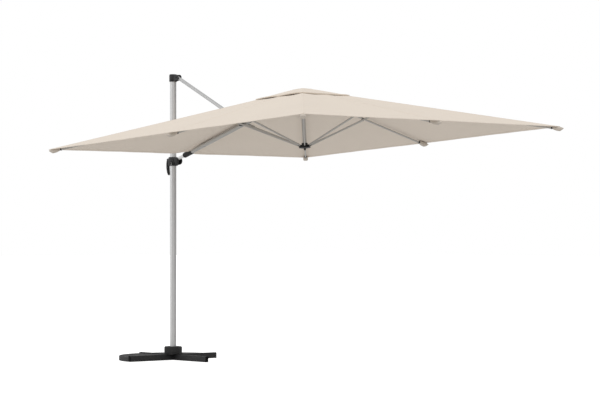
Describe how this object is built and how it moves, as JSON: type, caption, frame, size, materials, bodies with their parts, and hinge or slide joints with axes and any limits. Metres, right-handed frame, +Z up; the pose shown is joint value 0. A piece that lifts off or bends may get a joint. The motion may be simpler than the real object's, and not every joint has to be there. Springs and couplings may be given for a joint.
{
  "type": "cantilever parasol",
  "caption": "Side-post parasol with a square vented canopy on a folding arm, a sliding collar, a swivelling mast and a cross base with ballast slabs.",
  "frame": {"origin": "on the ground, under the middle of the mast and of the cross base", "axes": "+Z up, +X from the mast towards the middle of the canopy, +Y to the left when looking from the mast along +X"},
  "size_m": [3.6169, 3, 2.516],
  "materials": {
    "charcoal_paint": "satin powder coat",
    "plug_plastic": "moulded",
    "ballast_composite": "cast, fine grained",
    "zinc_steel": "zinc plated",
    "anodised_aluminium": "matt anodised",
    "white_tube": "white lacquer",
    "black_plastic": "moulded, lightly grained",
    "bush_plastic": "moulded",
    "ecru_cloth": "plain weave canvas"
  },
  "bodies": {
    "base": {"cross_bar_long": "charcoal_paint", "cross_bar_front": "charcoal_paint", "cross_bar_rear": "charcoal_paint", "bar_cap_front": "plug_plastic", "bar_cap_left": "plug_plastic", "bar_cap_rear": "plug_plastic", "bar_cap_right": "plug_plastic", "ballast_slab_left": "ballast_composite", "ballast_slab_right": "ballast_composite", "mounting_plate": "charcoal_paint", "swivel_spigot": "zinc_steel"},
    "mast": {"swivel_housing": "black_plastic", "swivel_bush": "bush_plastic", "mast_tube": "anodised_aluminium", "mast_cap": "black_plastic"},
    "slider": {"slider_collar": "black_plastic", "slider_liner": "bush_plastic", "arm_pivot_pin": "zinc_steel"},
    "release_lever": {"release_lever": "black_plastic"},
    "lock_screw": {"lock_screw": "black_plastic"},
    "arm": {"arm_inner_tube": "white_tube", "arm_sleeve": "black_plastic", "arm_tube": "anodised_aluminium", "arm_head": "black_plastic", "pivot_bolt": "zinc_steel", "canopy_rear": "ecru_cloth"},
    "star_knob": {"star_knob": "black_plastic"},
    "lever": {"upper_rod": "anodised_aluminium", "link_strut": "anodised_aluminium", "lever_cheek_left": "anodised_aluminium", "lever_cheek_right": "anodised_aluminium"},
    "runner": {"lower_hub": "black_plastic", "link_pin": "zinc_steel"},
    "hub": {"top_hub": "black_plastic", "centre_pole": "anodised_aluminium", "vent_cap": "ecru_cloth"},
    "rib_right": {"rib_right": "anodised_aluminium", "canopy_right": "ecru_cloth"},
    "strut_right": {"strut_right": "anodised_aluminium"},
    "rib_front": {"rib_front": "anodised_aluminium", "canopy_front": "ecru_cloth"},
    "strut_front": {"strut_front": "anodised_aluminium"},
    "rib_left": {"rib_left": "anodised_aluminium", "canopy_left": "ecru_cloth"},
    "strut_left": {"strut_left": "anodised_aluminium"},
    "rib_rear_right": {"rib_rear_right": "anodised_aluminium", "canopy_rear_right": "ecru_cloth"},
    "strut_rear_right": {"strut_rear_right": "anodised_aluminium"},
    "rib_front_right": {"rib_front_right": "anodised_aluminium", "canopy_front_right": "ecru_cloth"},
    "strut_front_right": {"strut_front_right": "anodised_aluminium"},
    "rib_front_left": {"rib_front_left": "anodised_aluminium", "canopy_front_left": "ecru_cloth"},
    "strut_front_left": {"strut_front_left": "anodised_aluminium"},
    "rib_rear_left": {"rib_rear_left": "anodised_aluminium", "canopy_rear_left": "ecru_cloth"},
    "strut_rear_left": {"strut_rear_left": "anodised_aluminium"}
  },
  "joints": [
    {"name": "mast_swivel", "type": "hinge", "parent": "base", "child": "mast", "pos_m": [0, 0, 0.09], "axis": [0, 0, 1], "continuous": true},
    {"name": "slider_travel", "type": "slide", "parent": "mast", "child": "slider", "axis": [0, 0, -1], "range_m": [0, 1.125]},
    {"name": "canopy_fold", "type": "hinge", "parent": "slider", "child": "arm", "pos_m": [0.065, 0, 1.77], "axis": [0, -1, 0], "range_deg": [0, 64.52], "deforming": ["canopy_right", "canopy_front", "canopy_left", "canopy_rear_right", "canopy_front_right", "canopy_front_left", "canopy_rear_left", "canopy_rear", "vent_cap"]},
    {"name": "hub_tilt", "type": "hinge", "parent": "arm", "child": "hub", "pos_m": [1.5716, 0, 2.26678], "axis": [0, 1, 0], "range_deg": [0, 63.2]},
    {"name": "lever_swing", "type": "hinge", "parent": "arm", "child": "lever", "pos_m": [0.91499, 0, 2.05027], "axis": [0, 1, 0], "range_deg": [0, 120.7]},
    {"name": "runner_tilt", "type": "hinge", "parent": "lever", "child": "runner", "pos_m": [1.59858, 0, 1.84163], "axis": [0, -1, 0], "range_deg": [0, 57.6]},
    {"name": "star_knob_turn", "type": "hinge", "parent": "arm", "child": "star_knob", "pos_m": [0.91499, 0, 2.05027], "axis": [0, 1, 0], "continuous": true},
    {"name": "release_lever_pull", "type": "hinge", "parent": "slider", "child": "release_lever", "pos_m": [-0.056, 0, 1.764], "axis": [0, 1, 0], "range_deg": [0, 35]},
    {"name": "lock_screw_turn", "type": "hinge", "parent": "slider", "child": "lock_screw", "pos_m": [0.01809, -0.03879, 1.727], "axis": [0.4226, -0.9063, 0], "continuous": true},
    {"name": "rib_right_fold", "type": "hinge", "parent": "hub", "child": "rib_right", "pos_m": [1.61851, -0.047, 2.26976], "axis": [0.998, 0, 0.0633], "range_deg": [0, 64.6]},
    {"name": "strut_right_fold", "type": "hinge", "parent": "rib_right", "child": "strut_right", "pos_m": [1.6307, -0.7098, 2.07767], "axis": [-0.998, 0, -0.0633], "range_deg": [0, 126.1]},
    {"name": "rib_front_fold", "type": "hinge", "parent": "hub", "child": "rib_front", "pos_m": [1.66542, 0, 2.27273], "axis": [0, 1, 0], "range_deg": [0, 64.6]},
    {"name": "strut_front_fold", "type": "hinge", "parent": "rib_front", "child": "strut_front", "pos_m": [2.33908, 0, 2.12261], "axis": [0, -1, 0], "range_deg": [0, 126.1]},
    {"name": "rib_left_fold", "type": "hinge", "parent": "hub", "child": "rib_left", "pos_m": [1.61851, 0.047, 2.26976], "axis": [-0.998, 0, -0.0633], "range_deg": [0, 64.6]},
    {"name": "strut_left_fold", "type": "hinge", "parent": "rib_left", "child": "strut_left", "pos_m": [1.6307, 0.7098, 2.07767], "axis": [0.998, 0, 0.0633], "range_deg": [0, 126.1]},
    {"name": "rib_rear_right_fold", "type": "hinge", "parent": "hub", "child": "rib_rear_right", "pos_m": [1.58534, -0.03323, 2.26765], "axis": [0.7057, -0.7071, 0.0448], "range_deg": [0, 66]},
    {"name": "strut_rear_right_fold", "type": "hinge", "parent": "rib_rear_right", "child": "strut_rear_right", "pos_m": [1.12444, -0.50393, 2.09832], "axis": [-0.7057, 0.7071, -0.0448], "range_deg": [0, 121.3]},
    {"name": "rib_front_right_fold", "type": "hinge", "parent": "hub", "child": "rib_front_right", "pos_m": [1.65168, -0.03323, 2.27186], "axis": [0.7057, 0.7071, 0.0448], "range_deg": [0, 66]},
    {"name": "strut_front_right_fold", "type": "hinge", "parent": "rib_front_right", "child": "strut_front_right", "pos_m": [2.13028, -0.50393, 2.16213], "axis": [-0.7057, -0.7071, -0.0448], "range_deg": [0, 121.3]},
    {"name": "rib_front_left_fold", "type": "hinge", "parent": "hub", "child": "rib_front_left", "pos_m": [1.65168, 0.03323, 2.27186], "axis": [-0.7057, 0.7071, -0.0448], "range_deg": [0, 66]},
    {"name": "strut_front_left_fold", "type": "hinge", "parent": "rib_front_left", "child": "strut_front_left", "pos_m": [2.13028, 0.50393, 2.16213], "axis": [0.7057, -0.7071, 0.0448], "range_deg": [0, 121.3]},
    {"name": "rib_rear_left_fold", "type": "hinge", "parent": "hub", "child": "rib_rear_left", "pos_m": [1.58534, 0.03323, 2.26765], "axis": [-0.7057, -0.7071, -0.0448], "range_deg": [0, 66]},
    {"name": "strut_rear_left_fold", "type": "hinge", "parent": "rib_rear_left", "child": "strut_rear_left", "pos_m": [1.12444, 0.50393, 2.09832], "axis": [0.7057, 0.7071, 0.0448], "range_deg": [0, 121.3]}
  ],
  "couplings": [
    {"joint": "slider_travel", "follows": "canopy_fold", "m_per_rad": 0.99798},
    {"joint": "hub_tilt", "follows": "canopy_fold", "ratio": 0.97801},
    {"joint": "lever_swing", "follows": "canopy_fold", "ratio": 1.8696},
    {"joint": "runner_tilt", "follows": "canopy_fold", "ratio": 0.89158},
    {"joint": "rib_right_fold", "follows": "canopy_fold", "ratio": 1},
    {"joint": "strut_right_fold", "follows": "canopy_fold", "ratio": 1.9528},
    {"joint": "rib_front_fold", "follows": "canopy_fold", "ratio": 1},
    {"joint": "strut_front_fold", "follows": "canopy_fold", "ratio": 1.9528},
    {"joint": "rib_left_fold", "follows": "canopy_fold", "ratio": 1},
    {"joint": "strut_left_fold", "follows": "canopy_fold", "ratio": 1.9528},
    {"joint": "rib_rear_right_fold", "follows": "canopy_fold", "ratio": 1.022},
    {"joint": "strut_rear_right_fold", "follows": "canopy_fold", "ratio": 1.879},
    {"joint": "rib_front_right_fold", "follows": "canopy_fold", "ratio": 1.022},
    {"joint": "strut_front_right_fold", "follows": "canopy_fold", "ratio": 1.879},
    {"joint": "rib_front_left_fold", "follows": "canopy_fold", "ratio": 1.022},
    {"joint": "strut_front_left_fold", "follows": "canopy_fold", "ratio": 1.879},
    {"joint": "rib_rear_left_fold", "follows": "canopy_fold", "ratio": 1.022},
    {"joint": "strut_rear_left_fold", "follows": "canopy_fold", "ratio": 1.879}
  ]
}
